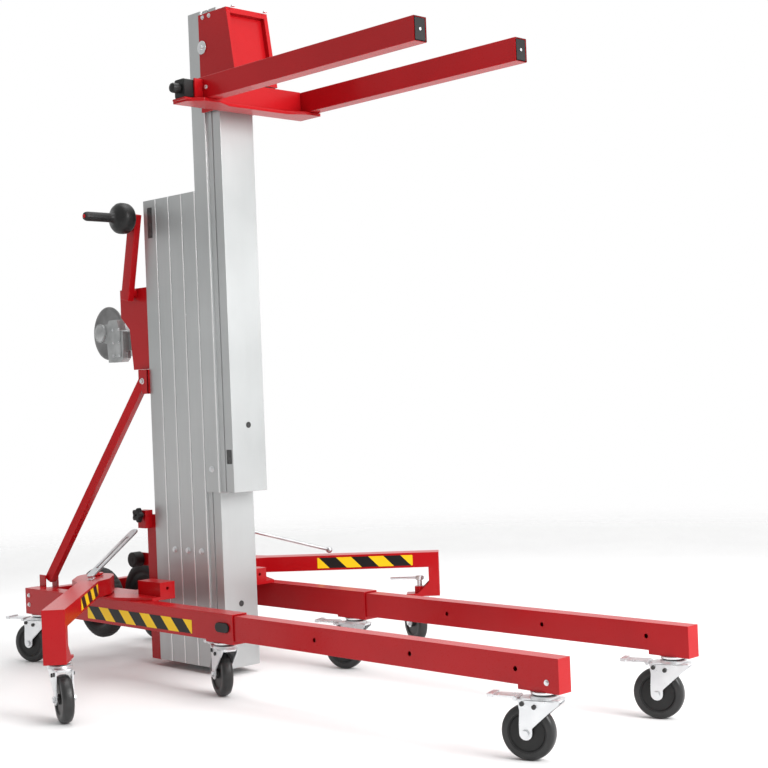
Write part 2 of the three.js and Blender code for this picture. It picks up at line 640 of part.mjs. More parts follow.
const drum = place("winch_drum", ringAboutY([
  [12 + GAP, -34], [WINCH.flange - 10, -34], [WINCH.flange - 10, -28], [WINCH.drumRadius, -28],
  [WINCH.drumRadius, 56], [WINCH.flange - 10, 56], [WINCH.flange - 10, 62], [12 + GAP, 62], [12 + GAP, -34],
], 32), STEEL);
drum.position.set(WINCH.x, 0, WINCH.z);

// The crank arm is drawn upright and leans a few degrees towards the mast at rest.
const ARM_Y = { inner: -76, outer: -98 };
const crank = new THREE.Group();
crank.position.set(CRANK.x, 0, CRANK.z);
crank.rotation.y = THREE.MathUtils.degToRad(CRANK.tilt);
model.add(crank);

function crankArm() {
  const bar = slab([-20, 20], [ARM_Y.outer, ARM_Y.inner], [-22, CRANK.reach + 16]);
  const shaft = rod("y", 9, 44, [0, -BRACKET.half - 1, 0], 16);
  const bossLength = -ARM_Y.inner - BRACKET.half - GAP + 1;
  const boss = rod("y", 17, bossLength, [0, ARM_Y.inner + bossLength / 2 - 1, 0], ROUND);
  const spindle = rod("y", 6, GRIP_LENGTH + 6, [0, ARM_Y.outer - GRIP_LENGTH / 2, CRANK.reach], 12);
  return join(bar, shaft, boss, spindle);
}
place("crank_arm", crankArm(), RED, crank);

const grip = place("crank_grip", ringAboutY([
  [6 + GAP, -GAP], [18, -GAP], [42, -14], [48, -30], [48, -44], [40, -60], [22, -68], [14.5, -78],
  [14.5, 6 - GRIP_LENGTH], [12, -GRIP_LENGTH], [6 + GAP, -GRIP_LENGTH], [6 + GAP, -GAP],
].reverse(), ROUND), BLACK, crank);
grip.position.set(0, ARM_Y.outer, CRANK.reach);

// ---------------------------------------------------------------- frame origin
// The origin sits on the floor, under the middle of the whole lift.
const bounds = new THREE.Box3().setFromObject(model, true);
model.position.set(-(bounds.min.x + bounds.max.x) / 2, -(bounds.min.y + bounds.max.y) / 2, 0);

export default model;
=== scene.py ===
# Looks of the material lift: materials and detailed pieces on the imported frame. Lengths are in metres.
import json
import math

import bmesh
import bpy
from mathutils import Matrix, Vector

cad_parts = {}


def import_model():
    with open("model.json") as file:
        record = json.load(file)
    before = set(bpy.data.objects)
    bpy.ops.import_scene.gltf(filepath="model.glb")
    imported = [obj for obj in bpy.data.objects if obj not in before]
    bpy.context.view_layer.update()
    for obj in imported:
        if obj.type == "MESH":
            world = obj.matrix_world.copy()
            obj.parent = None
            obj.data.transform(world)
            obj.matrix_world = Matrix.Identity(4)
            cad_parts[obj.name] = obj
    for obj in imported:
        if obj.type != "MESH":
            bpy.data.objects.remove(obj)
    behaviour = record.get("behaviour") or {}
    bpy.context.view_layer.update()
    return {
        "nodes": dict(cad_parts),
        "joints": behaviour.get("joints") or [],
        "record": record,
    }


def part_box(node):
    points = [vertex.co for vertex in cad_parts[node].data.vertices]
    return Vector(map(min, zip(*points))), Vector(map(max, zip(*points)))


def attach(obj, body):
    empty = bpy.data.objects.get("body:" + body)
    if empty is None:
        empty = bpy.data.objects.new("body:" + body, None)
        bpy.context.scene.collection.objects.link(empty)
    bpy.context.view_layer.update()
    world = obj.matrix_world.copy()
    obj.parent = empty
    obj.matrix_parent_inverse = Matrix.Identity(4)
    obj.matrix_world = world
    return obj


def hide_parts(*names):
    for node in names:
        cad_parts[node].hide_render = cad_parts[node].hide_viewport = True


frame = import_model()

# ---------------------------------------------------------------- driving values
JOINTS = {joint["name"]: joint for joint in frame["joints"]}
MM = 0.001
UP = Vector((0, 0, 1))
ACROSS = Vector((0, 1, 0))
ALONG = Vector((1, 0, 0))
NEAR_SIDE = -ACROSS

CASTERS = [
    "front_near", "front_far", "sleeve_near", "sleeve_far",
    "rear_near", "rear_far", "stabilizer_near", "stabilizer_far",
]
# Half widths of the tubes, from their middle lines.
ARM_HALF = 30 * MM
RAIL_HALF = 25 * MM
LEG_HALF = 21 * MM
COLUMN_HALF = 62 * MM

# Sets how closely the tape's stripes follow each other.
STRIPE_PITCH = 0.105
STRIPE_SCALE = 2 * math.pi / (10 * STRIPE_PITCH)

CAMERA = {
    "place": (3.1334, -2.730, 0.8285), "heading": 45.51, "tilt": 0.224, "roll": -2.277, "lens": 68.53,
}
LAMP_TARGET = (0.0, 0.0, 1.0)
LAMPS = {
    "key": {"place": (4.2, 0.4, 2.8), "size": (2.4, 2.4), "power": 190},
    "fill": {"place": (-1.5, -4.5, 2.0), "size": (3.0, 3.0), "power": 12},
    "top": {"place": (0.0, 0.5, 5.0), "size": (3.0, 3.0), "power": 90},
}
FLOOR_SOLID = 2.2
FLOOR_END = 6.0


def joint_point(name):
    return Vector(JOINTS[name]["pos_m"])


# ---------------------------------------------------------------- material helpers
def new_material(name):
    material = bpy.data.materials.new(name)
    material.use_nodes = True
    tree = material.node_tree
    return material, tree, tree.nodes["Principled BSDF"]


def coordinates(tree, stretch=(1, 1, 1)):
    place = tree.nodes.new("ShaderNodeTexCoord")
    mapping = tree.nodes.new("ShaderNodeMapping")
    mapping.inputs["Scale"].default_value = stretch
    tree.links.new(place.outputs["Object"], mapping.inputs["Vector"])
    return mapping.outputs["Vector"]


def noise(tree, vector, scale, detail=4.0):
    texture = tree.nodes.new("ShaderNodeTexNoise")
    texture.inputs["Scale"].default_value = scale
    texture.inputs["Detail"].default_value = detail
    tree.links.new(vector, texture.inputs["Vector"])
    return texture.outputs["Fac"]


def ramp(tree, value, stops, mode="LINEAR"):
    """A colour ramp from (position, colour) stops."""
    node = tree.nodes.new("ShaderNodeValToRGB")
    node.color_ramp.interpolation = mode
    elements = node.color_ramp.elements
    while len(elements) < len(stops):
        elements.new(0.5)
    for element, (position, color) in zip(elements, stops):
        element.position = position
        element.color = (*color, 1)
    tree.links.new(value, node.inputs["Fac"])
    return node.outputs["Color"]


def bump(tree, shader, height, strength, distance):
    node = tree.nodes.new("ShaderNodeBump")
    node.inputs["Strength"].default_value = strength
    node.inputs["Distance"].default_value = distance
    tree.links.new(height, node.inputs["Height"])
    tree.links.new(node.outputs["Normal"], shader.inputs["Normal"])


def grey(value):
    return (value, value, value)


def surface(
    name, dark, light, rough, metallic, grain, stretch=(1, 1, 1), patches=6.0, depth=0.0002, strength=0.15,
    gloss=0.5,
):
    """Colour that drifts between two tones in broad patches, with roughness and bump from a finer grain."""
    material, tree, shader = new_material(name)
    broad = noise(tree, coordinates(tree), patches)
    tree.links.new(ramp(tree, broad, [(0.35, dark), (0.65, light)]), shader.inputs["Base Color"])
    fine = noise(tree, coordinates(tree, stretch), grain)
    roughness = ramp(tree, fine, [(0.3, grey(rough[0])), (0.7, grey(rough[1]))])
    tree.links.new(roughness, shader.inputs["Roughness"])
    shader.inputs["Metallic"].default_value = metallic
    shader.inputs["Specular IOR Level"].default_value = gloss
    bump(tree, shader, fine, strength, depth)
    return material, shader


def red_paint():
    material, shader = surface(
        "red_paint", (0.37, 0.0025, 0.005), (0.44, 0.0035, 0.007), (0.26, 0.36), 0.0, 420.0, patches=3.0,
        depth=0.00005, strength=0.2, gloss=0.22,
    )
    shader.inputs["Coat Weight"].default_value = 0.12
    shader.inputs["Coat Roughness"].default_value = 0.12
    return material


def extruded_aluminium():
    return surface(
        "aluminium", (0.46, 0.475, 0.475), (0.55, 0.565, 0.565), (0.34, 0.50), 0.72, 3.0,
        stretch=(220, 220, 1.2), patches=2.0, depth=0.00008, strength=0.35,
    )[0]


# A lighter, glossier copy of the aluminium, used as a painted highlight along the columns' edge lips.
def painted_highlight_lip():
    return surface(
        "painted_highlight_lip", grey(0.80), grey(0.88), (0.22, 0.34), 0.8, 3.0,
        stretch=(220, 220, 1.2), patches=4.0, depth=0.00005, strength=0.2,
    )[0]


def zinc_plate():
    return surface(
        "zinc_plate", (0.70, 0.715, 0.73), (0.78, 0.79, 0.80), (0.26, 0.36), 0.85, 40.0, patches=14.0,
        depth=0.00004, strength=0.08,
    )[0]


def plain_steel():
    return surface(
        "steel", (0.50, 0.51, 0.52), (0.62, 0.63, 0.64), (0.28, 0.45), 0.9, 90.0, patches=20.0,
        depth=0.0001, strength=0.2,
    )[0]


def casting():
    return surface(
        "casting", (0.34, 0.35, 0.35), (0.50, 0.51, 0.51), (0.38, 0.55), 0.8, 500.0, patches=22.0,
        depth=0.0003, strength=0.35,
    )[0]


def black_plastic():
    return surface(
        "black_plastic", grey(0.009), grey(0.016), (0.34, 0.46), 0.0, 900.0, patches=14.0,
        depth=0.00012, strength=0.3, gloss=0.3,
    )[0]


def black_paint():
    return surface(
        "black_paint", grey(0.02), grey(0.03), (0.3, 0.42), 0.0, 300.0, patches=8.0, depth=0.0001,
    )[0]


def tread_rubber():
    return surface(
        "tread_rubber", grey(0.014), grey(0.024), (0.30, 0.42), 0.0, 350.0, patches=30.0,
        depth=0.0002, strength=0.25, gloss=0.45,
    )[0]


def tyre_rubber():
    return surface(
        "tyre_rubber", grey(0.011), grey(0.02), (0.5, 0.68), 0.0, 260.0, patches=18.0,
        depth=0.0003, strength=0.35, gloss=0.35,
    )[0]


def hazard_tape():
    """Slanting stripes across a strip whose own X runs along the tape and Y across it."""
    material, tree, shader = new_material("hazard_tape")
    wave = tree.nodes.new("ShaderNodeTexWave")
    wave.wave_type = "BANDS"
    wave.bands_direction = "DIAGONAL"
    wave.inputs["Scale"].default_value = STRIPE_SCALE
    wave.inputs["Distortion"].default_value = 0.0
    tree.links.new(coordinates(tree), wave.inputs["Vector"])
    stripes = [(0.0, grey(0.01)), (0.55, (0.90, 0.58, 0.01))]
    tree.links.new(ramp(tree, wave.outputs["Fac"], stripes, "CONSTANT"), shader.inputs["Base Color"])
    shader.inputs["Roughness"].default_value = 0.42
    shader.inputs["Specular IOR Level"].default_value = 0.25
    bump(tree, shader, noise(tree, coordinates(tree), 180.0), 0.15, 0.0002)
    return material


def label_film():
    return surface(
        "label_film", grey(0.04), grey(0.07), (0.25, 0.35), 0.0, 120.0, patches=60.0, depth=0.00005,
    )[0]


def disc_metal():
    return surface(
        "disc_metal", grey(0.16), grey(0.26), (0.35, 0.5), 0.7, 200.0, patches=12.0,
        depth=0.0002, strength=0.3,
    )[0]


RED = red_paint()
ALUMINIUM = extruded_aluminium()
ZINC = zinc_plate()
STEEL = plain_steel()
CASTING = casting()
PLASTIC = black_plastic()
BLACK = black_paint()
TREAD = tread_rubber()
RUBBER = tyre_rubber()
TAPE = hazard_tape()
LABEL = label_film()
DISC = disc_metal()
HIGHLIGHT_LIP = painted_highlight_lip()
SLOT_MATERIALS = {
    "red_paint": RED, "aluminium": ALUMINIUM, "zinc": ZINC, "steel": STEEL, "casting": CASTING,
    "black_plastic": PLASTIC, "black_paint": BLACK, "roller_rubber": RUBBER, "tyre_rubber": RUBBER,
}


# ---------------------------------------------------------------- mesh helpers
def mesh_from(bm, name, smooth_angle=35):
    bmesh.ops.remove_doubles(bm, verts=bm.verts, dist=1e-6)
    bmesh.ops.recalc_face_normals(bm, faces=bm.faces)
    mesh = bpy.data.meshes.new(name)
    bm.to_mesh(mesh)
    bm.free()
    for polygon in mesh.polygons:
        polygon.use_smooth = True
    mesh.set_sharp_from_angle(angle=math.radians(smooth_angle))
    return mesh


def lathe(name, profile, segments=64, wave=None):
    """A closed profile of (radius, height) turned about Z. wave(angle, radius) may change the radius."""
    bm = bmesh.new()
    rings = []
    for step in range(segments):
        angle = 2 * math.pi * step / segments
        ring = []
        for radius, height in profile:
            turned = wave(angle, radius) if wave else radius
            ring.append(bm.verts.new((turned * math.cos(angle), turned * math.sin(angle), height)))
        rings.append(ring)
    count = len(profile)
    for step in range(segments):
        here = rings[step]
        there = rings[(step + 1) % segments]
        for i in range(count):
            j = (i + 1) % count
            bm.faces.new([here[i], there[i], there[j], here[j]])
    bmesh.ops.dissolve_degenerate(bm, dist=1e-7, edges=bm.edges)
    return mesh_from(bm, name)


def prism(name, outline, low, high, edge=0.0, segments=2):
    """An XY outline raised along Z, with rounded edges."""
    bm = bmesh.new()
    bottom = [bm.verts.new((x, y, low)) for x, y in outline]
    face = bm.faces.new(bottom)
    raised = bmesh.ops.extrude_face_region(bm, geom=[face])
    lifted = [item for item in raised["geom"] if isinstance(item, bmesh.types.BMVert)]
    bmesh.ops.translate(bm, verts=lifted, vec=(0, 0, high - low))
    bmesh.ops.recalc_face_normals(bm, faces=bm.faces)
    if edge:
        bm.normal_update()
        sharp = [e for e in bm.edges if e.calc_face_angle(0) > math.radians(40)]
        bmesh.ops.bevel(bm, geom=sharp, offset=edge, segments=segments, affect="EDGES", clamp_overlap=True)
    return mesh_from(bm, name)


def rectangle(length, width, radius=0.0, arcs=5):
    """A rectangle about the origin with round corners."""
    half_x = length / 2
    half_y = width / 2
    if not radius:
        return [(-half_x, -half_y), (half_x, -half_y), (half_x, half_y), (-half_x, half_y)]
    points = []
    for turn, (sx, sy) in enumerate([(1, -1), (1, 1), (-1, 1), (-1, -1)]):
        start = -math.pi / 2 + turn * math.pi / 2
        for i in range(arcs + 1):
            angle = start + i * math.pi / 2 / arcs
            x = sx * (half_x - radius) + radius * math.cos(angle)
            y = sy * (half_y - radius) + radius * math.sin(angle)
            points.append((x, y))
    return points


def polygon(radius, sides):
    return [
        (radius * math.cos(2 * math.pi * i / sides), radius * math.sin(2 * math.pi * i / sides))
        for i in range(sides)
    ]


def in_mm(points):
    """Points given in millimetres, turned into metres."""
    return [(first * MM, second * MM) for first, second in points]


def facing(place, normal, along=None):
    """A frame at place whose Z is the normal and whose X runs along the given way."""
    z = Vector(normal).normalized()
    x = Vector(along) if along else (UP.cross(z) if abs(z.z) < 0.9 else ALONG.copy())
    x = (x - x.dot(z) * z).normalized()
    y = z.cross(x)
    matrix = Matrix((x, y, z)).transposed().to_4x4()
    matrix.translation = Vector(place)
    return matrix


def put(name, mesh, matrix, body, material):
    """A new piece on a body and its material."""
    thing = bpy.data.objects.new(name, mesh)
    bpy.context.scene.collection.objects.link(thing)
    if not mesh.materials:
        mesh.materials.append(material)
    thing.matrix_world = matrix
    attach(thing, body)
    return thing


# ---------------------------------------------------------------- CAD nodes that stay
BEVELS = {"red_paint": 2.2 * MM, "aluminium": 0.9 * MM, "casting": 2.5 * MM}


def finish_cad_nodes():
    """Each shown CAD node gets its material and softened edges."""
    slots = {part["node"]: part["material_slot"] for part in frame["record"]["subparts"]}
    for name, thing in frame["nodes"].items():
        slot = slots[name]
        thing.data.materials.clear()
        thing.data.materials.append(SLOT_MATERIALS[slot])
        if "custom_normal" in thing.data.attributes:
            thing.data.attributes.remove(thing.data.attributes["custom_normal"])
        for polygon_face in thing.data.polygons:
            polygon_face.use_smooth = True
        weld = thing.modifiers.new("weld", "WELD")
        weld.merge_threshold = 1e-5
        bevel = thing.modifiers.new("edges", "BEVEL")
        bevel.width = BEVELS.get(slot, 0.8 * MM)
        bevel.segments = 2
        bevel.limit_method = "ANGLE"
        bevel.angle_limit = math.radians(38)
        weighted = thing.modifiers.new("normals", "WEIGHTED_NORMAL")
        weighted.mode = "FACE_AREA"
        weighted.weight = 100
        weighted.keep_sharp = False


finish_cad_nodes()


# ---------------------------------------------------------------- fasteners
HEX_HEAD = prism("hex_head", polygon(7.6 * MM, 6), 1.6 * MM, 6.6 * MM, 0.6 * MM)
SMALL_HEAD = prism("small_head", polygon(5.2 * MM, 6), 1.2 * MM, 4.6 * MM, 0.5 * MM)
WASHER = lathe("washer", in_mm([(3, 0), (9.5, 0), (9.5, 1.2), (8.9, 1.6), (3, 1.6)]), 40)
SMALL_WASHER = lathe("small_washer", in_mm([(2, 0), (6.6, 0), (6.6, 1.2), (2, 1.2)]), 32)
CAP_SCREW = lathe("cap_screw", in_mm([(1.6, 0), (4, 0), (4, 2.6), (3.5, 3.2), (2, 3.2), (1.6, 1.4)]), 28)


def bolt(name, place, normal, body, small=False):
    """A hexagon head on a washer, standing on the surface at place."""
    head = SMALL_HEAD if small else HEX_HEAD
    washer = SMALL_WASHER if small else WASHER
    matrix = facing(place, normal)
    put(f"{name}_head", head, matrix, body, ZINC)
    put(f"{name}_washer", washer, matrix, body, ZINC)


# ---------------------------------------------------------------- casters
CASTER_RADIUS = 62.5 * MM
CASTER_HALF = 16.5 * MM
FORK_CROWN = 140 * MM
PLATE_UNDERSIDE = 154.7 * MM
# The side plates' middle and outer face, from the wheel's middle.
SIDE_PLATE = 22 * MM
SIDE_PLATE_FACE = 24 * MM
# The pedal pins, as (forward of the axle, height above the floor).
PEDAL_PINS = ((-22 * MM, 122 * MM), (6 * MM, 128 * MM))


def caster_frame(name):
    """The caster's own frame: Z up at the swivel on the floor, X towards its axle."""
    swivel = joint_point(f"{name}_swivel")
    axle = joint_point(f"{name}_roll")
    trail = axle - swivel
    trail.z = 0
    return facing((swivel.x, swivel.y, 0), UP, trail), trail.length


def tyre_profile(half):
    return [
        (46 * MM, -half + 1 * MM), (55 * MM, -half + 1 * MM), (59.5 * MM, -half + 3.5 * MM),
        (61.8 * MM, -half + 8 * MM), (CASTER_RADIUS, -4 * MM), (CASTER_RADIUS, 4 * MM),
        (61.8 * MM, half - 8 * MM), (59.5 * MM, half - 3.5 * MM), (55 * MM, half - 1 * MM),
        (46 * MM, half - 1 * MM),
    ]


def core_profile(half):
    return [
        (5.3 * MM, -half), (13 * MM, -half), (14 * MM, -half + 4 * MM), (40 * MM, -half + 5 * MM),
        (43 * MM, -half + 1.5 * MM), (46.5 * MM, -half + 1.5 * MM), (46.5 * MM, half - 1.5 * MM),
        (43 * MM, half - 1.5 * MM), (40 * MM, half - 5 * MM), (14 * MM, half - 4 * MM), (13 * MM, half),
        (5.3 * MM, half),
    ]


def leg_outline(trail):
    """One side plate of a caster fork, in X and Z: wide under the crown, round at the axle."""
    end = 15 * MM
    top = FORK_CROWN - 2 * MM
    points = [(-42 * MM, top), (-38 * MM, FORK_CROWN - 13 * MM), (-14 * MM, 108 * MM), (trail - end, 74 * MM)]
    for i in range(9):
        angle = math.pi + i * math.pi / 8
        points.append((trail + end * math.cos(angle), CASTER_RADIUS + end * math.sin(angle)))
    points += [(trail + end, 82 * MM), (trail + 13 * MM, 112 * MM), (trail + 17 * MM, top)]
    return points


TYRE = lathe("caster_tyre", tyre_profile(CASTER_HALF), 72)
CORE = lathe("caster_core", core_profile(CASTER_HALF), 64)
CROWN = prism("caster_crown", [(x + 6 * MM, y) for x, y in rectangle(98 * MM, 48 * MM, 14 * MM)],
              133 * MM, FORK_CROWN, 2 * MM, 3)
RACE = lathe("caster_race", [
    (5 * MM, FORK_CROWN - 1 * MM), (33 * MM, FORK_CROWN - 1 * MM), (32 * MM, 145 * MM), (29 * MM, 147 * MM),
    (5 * MM, 147 * MM),
])
BALLS = lathe("caster_balls", in_mm([(5, 146.5), (27, 146.5), (28.4, 148.5), (27, 150.5), (5, 150.5)]))
TOP_CUP = lathe("caster_cup", [
    (5 * MM, 150 * MM), (30 * MM, 150 * MM), (31 * MM, 152 * MM), (31 * MM, PLATE_UNDERSIDE),
    (5 * MM, PLATE_UNDERSIDE),
])
AXLE_NUT = prism("axle_nut", polygon(9.2 * MM, 6), 0, 6 * MM, 1 * MM)
PEDAL_PIN = lathe("pedal_pin", in_mm([(0.5, 0), (5.4, 0), (5.4, 3), (4.4, 4), (0.5, 4)]), 32)
FORK_LEG = {}


def caster_leg_mesh(trail):
    """The side plate's mesh, shared by casters with the same trail."""
    key = round(trail, 4)
    if key not in FORK_LEG:
        FORK_LEG[key] = prism("caster_leg", leg_outline(trail), -2 * MM, 2 * MM, 1.2 * MM)
    return FORK_LEG[key]


def dress_caster(name):
    base, trail = caster_frame(name)
    fork_body = f"swivel_{name}"
    wheel_body = f"wheel_{name}"
    hub = base @ Matrix.Translation((trail, 0, CASTER_RADIUS)) @ Matrix.Rotation(math.pi / 2, 4, "X")
    tyre = put(f"tyre_{name}", TYRE, hub, wheel_body, TREAD)
    put(f"core_{name}", CORE, hub, wheel_body, PLASTIC)
    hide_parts(f"caster_wheel_{name}")
    crown = put(f"crown_{name}", CROWN, base, fork_body, ZINC)
    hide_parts(f"caster_fork_{name}")
    put(f"race_{name}", RACE, base, fork_body, ZINC)
    put(f"balls_{name}", BALLS, base, fork_body, BLACK)
    put(f"cup_{name}", TOP_CUP, base, fork_body, ZINC)
    upright = Matrix.Rotation(math.pi / 2, 4, "X")
    for side, sign in (("left", 1), ("right", -1)):
        leg = base @ Matrix.Translation((0, sign * SIDE_PLATE, 0)) @ upright
        put(f"fork_leg_{side}_{name}", caster_leg_mesh(trail), leg, fork_body, ZINC)
        outward = base.to_3x3() @ Vector((0, sign, 0))
        hub_face = base @ Vector((trail, sign * SIDE_PLATE_FACE, CASTER_RADIUS))
        put(f"axle_nut_{side}_{name}", AXLE_NUT, facing(hub_face, outward), fork_body, ZINC)
        for pin, (ahead, height) in enumerate(PEDAL_PINS):
            spot = base @ Vector((trail + ahead, sign * SIDE_PLATE_FACE, height))
            put(f"pin_{pin}_{side}_{name}", PEDAL_PIN, facing(spot, outward), fork_body, BLACK)


for caster in CASTERS:
    dress_caster(caster)


# ---------------------------------------------------------------- round pieces that replace faceted ones
def about_y(place):
    return facing(place, ACROSS, ALONG)


def tyre_lugs(angle, radius):
    """Shallow blocks around the tread of a transport wheel."""
    if radius < 108 * MM:
        return radius
    return radius - 1.6 * MM * (math.cos(40 * angle) > 0.55)


TRANSPORT_TYRE = lathe("transport_tyre", in_mm([
    (83, -21), (92, -23), (103, -21), (109, -15), (112, -7),
    (112, 7), (109, 15), (103, 21), (92, 23), (83, 21),
]), 160, tyre_lugs)
TRANSPORT_RIM = lathe("transport_rim", in_mm([
    (12.4, -20), (24, -20), (27, -10), (66, -9), (72, -15), (82, -20), (84, -20),
    (84, 20), (82, 20), (72, 15), (66, 9), (27, 10), (24, 20), (12.4, 20),
]))


def transport_wheels():
    for side in ("near", "far"):
        node = f"transport_wheel_{side}"
        low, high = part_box(node)
        matrix = about_y((low + high) / 2)
        body = f"transport_{side}"
        tyre = put(f"transport_tyre_{side}", TRANSPORT_TYRE, matrix, body, RUBBER)
        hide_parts(node)
        put(f"transport_rim_{side}", TRANSPORT_RIM, matrix, body, PLASTIC)


transport_wheels()


def grip_ribs(angle, radius):
    """Finger grooves along the bar of the crank grip."""
    if radius > 16 * MM or radius < 11 * MM:
        return radius
    return radius - 0.5 * MM * (0.5 + 0.5 * math.cos(12 * angle))


def crank_grip():
    """A round guard that narrows into a ribbed bar. The outline is 132 mm long and is fitted to the node."""
    low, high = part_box("crank_grip")
    length = high.y - low.y
    bell = [
        (6.3, 0), (17, 0), (20, 1), (34, 5), (42, 10), (46.5, 16), (48, 24), (48, 32), (46, 38),
        (40, 44), (31, 48), (22, 51), (17, 55), (15, 60), (14.5, 68), (14.5, 124), (13.5, 128),
        (11, 131.4), (6.3, 132),
    ]
    scale = length / (132 * MM)
    profile = [(radius * MM, height * MM * scale) for radius, height in bell]
    centre = (low + high) / 2
    matrix = facing((centre.x, high.y, centre.z), NEAR_SIDE, ALONG)
    mesh = lathe("crank_grip_mesh", profile, 72, grip_ribs)
    grip = put("grip_shell", mesh, matrix, "crank_grip", PLASTIC)
    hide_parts("crank_grip")


crank_grip()


def star_wave(angle, radius):
    """Five lobes around the star knob, but a round hub."""
    if radius < 12 * MM:
        return radius
    return radius * (1 + 0.16 * math.cos(5 * angle))


def stay_knob():
    low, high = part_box("stay_knob")
    centre = (low + high) / 2
    profile = in_mm([
        (4, 0), (9, 0), (9, 5), (17, 6), (20, 8), (20.4, 14), (20, 20), (17, 22.4), (10, 23), (9, 22),
        (4, 22),
    ])
    mesh = lathe("stay_knob_mesh", profile, 90, star_wave)
    matrix = facing((centre.x, high.y, centre.z), NEAR_SIDE, ALONG)
    knob = put("star_knob", mesh, matrix, "stay_knob", PLASTIC)
    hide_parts("stay_knob")


stay_knob()


def latch_knob():
    low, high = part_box("fork_latch_knob")
    centre = (low + high) / 2
    length = high.y - low.y
    knob_start = length - 28 * MM
    profile = [
        (1 * MM, 0), (7 * MM, 0), (7 * MM, knob_start - 6 * MM), (9 * MM, knob_start),
        (13 * MM, knob_start + 2 * MM), (14 * MM, knob_start + 6 * MM), (14 * MM, length - 6 * MM),
        (12.5 * MM, length - 2 * MM), (9 * MM, length), (1 * MM, length),
    ]
    matrix = facing((centre.x, high.y, centre.z), NEAR_SIDE, ALONG)
    mesh = lathe("latch_mesh", profile, 56)
    knob = put("latch_plunger", mesh, matrix, "fork_latch", PLASTIC)
    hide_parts("fork_latch_knob")


latch_knob()


def latch_block():
    """The black block that the plunger runs through, with a red clip under it."""
    low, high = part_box("fork_latch_knob")
    centre = (low + high) / 2
    matrix = facing((centre.x, high.y, centre.z), NEAR_SIDE, ALONG)
    block = prism("latch_block", rectangle(44 * MM, 52 * MM, 5 * MM, 4), 16 * MM, 62 * MM, 1.5 * MM)
    put("latch_block", block, matrix, "carriage", PLASTIC)
    shelf = prism("latch_shelf", rectangle(56 * MM, 6 * MM, 2 * MM, 3), 0, 66 * MM, 0.8 * MM)
    put("latch_shelf", shelf, matrix @ Matrix.Translation((0, -29.5 * MM, 0)), "carriage", RED)
    upright = prism("latch_side", rectangle(6 * MM, 58 * MM, 2 * MM, 3), 0, 30 * MM, 0.8 * MM)
    put("latch_side", upright, matrix @ Matrix.Translation((26 * MM, 0, 0)), "carriage", RED)


latch_block()


def loading_roller():
    """Two rubber drums on one shaft."""
    low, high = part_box("loading_roller")
    half = (high.y - low.y) / 2
    profile = [(1 * MM, -half), (6 * MM, -half)]
    for start, end in ((-63, -25), (25, 63)):
        profile += [
            (6 * MM, start * MM + 1 * MM), (20 * MM, start * MM + 1 * MM), (24 * MM, start * MM + 4 * MM),
            (24 * MM, end * MM - 4 * MM), (20 * MM, end * MM - 1 * MM), (6 * MM, end * MM - 1 * MM),
        ]
    profile = [(r, max(-half, min(half, h))) for r, h in profile]
    profile += [(6 * MM, half), (1 * MM, half)]
    mesh = lathe("roller_mesh", profile, 56)
    matrix = about_y((low + high) / 2)
    roller = put("roller_drums", mesh, matrix, "roller", RUBBER)
    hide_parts("loading_roller")


loading_roller()


# ---------------------------------------------------------------- winch
CASE_PROUD = 6 * MM
# The raised cover on the gear case: its middle from the case's corner, its size and how far it stands out.
GEAR_COVER = {"x": 118 * MM, "z": 62 * MM, "width": 44 * MM, "height": 96 * MM, "proud": 2.2 * MM}
# Four ribs beside the cover: the first one's offset, their spacing and their drop from the cover's middle.
CASE_RIBS = {"count": 4, "start": 34, "pitch": 8, "drop": 44 * MM}


def winch_drum():
    """A spool with two rolled flanges."""
    low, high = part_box("winch_drum")
    centre = (low + high) / 2
    radius = (high.x - low.x) / 2
    inner = low.y - centre.y
    outer = high.y - centre.y
    core = 52 * MM
    mesh = lathe("drum_mesh", [
        (12.4 * MM, inner), (radius - 2 * MM, inner), (radius, inner + 1.5 * MM), (radius, inner + 4.5 * MM),
        (radius - 2 * MM, inner + 6 * MM), (core + 4 * MM, inner + 6 * MM), (core, inner + 9 * MM),
        (core, outer - 9 * MM), (core + 4 * MM, outer - 6 * MM), (radius - 2 * MM, outer - 6 * MM),
        (radius, outer - 4.5 * MM), (radius, outer - 1.5 * MM), (radius - 2 * MM, outer), (12.4 * MM, outer),
    ], 88)
    drum = put("drum_spool", mesh, about_y(centre), "drum", STEEL)
    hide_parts("winch_drum")


def winch_disc():
    """The dark disc between the drum and the gear case."""
    low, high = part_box("winch_guard")
    disc = (low + high) / 2
    rim = (high.x - low.x) / 2
    half = (high.y - low.y) / 2
    mesh = lathe("guard_mesh", [
        (12.4 * MM, -half), (30 * MM, -half), (34 * MM, -half + 1.6 * MM), (rim - 16 * MM, -half + 1.6 * MM),
        (rim - 12 * MM, -half), (rim - 3 * MM, -half), (rim, -half + 2 * MM), (rim, half), (12.4 * MM, half),
    ], 88)
    guard = put("guard_disc", mesh, about_y(disc), "base", DISC)
    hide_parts("winch_guard")


def hub_cap():
    """The round cap on the gear case, on the drum's axis."""
    low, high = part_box("winch_drum")
    centre = (low + high) / 2
    hub = Vector((centre.x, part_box("winch_housing")[0].y, centre.z))
    profile = in_mm([(1, -3), (26, -3), (26, 0), (22, 1.5), (20, 3), (12, 3.6), (1, 3.8)])
    put("hub_cap", lathe("hub_cap", profile, 56), facing(hub, NEAR_SIDE, ALONG), "base", CASTING)


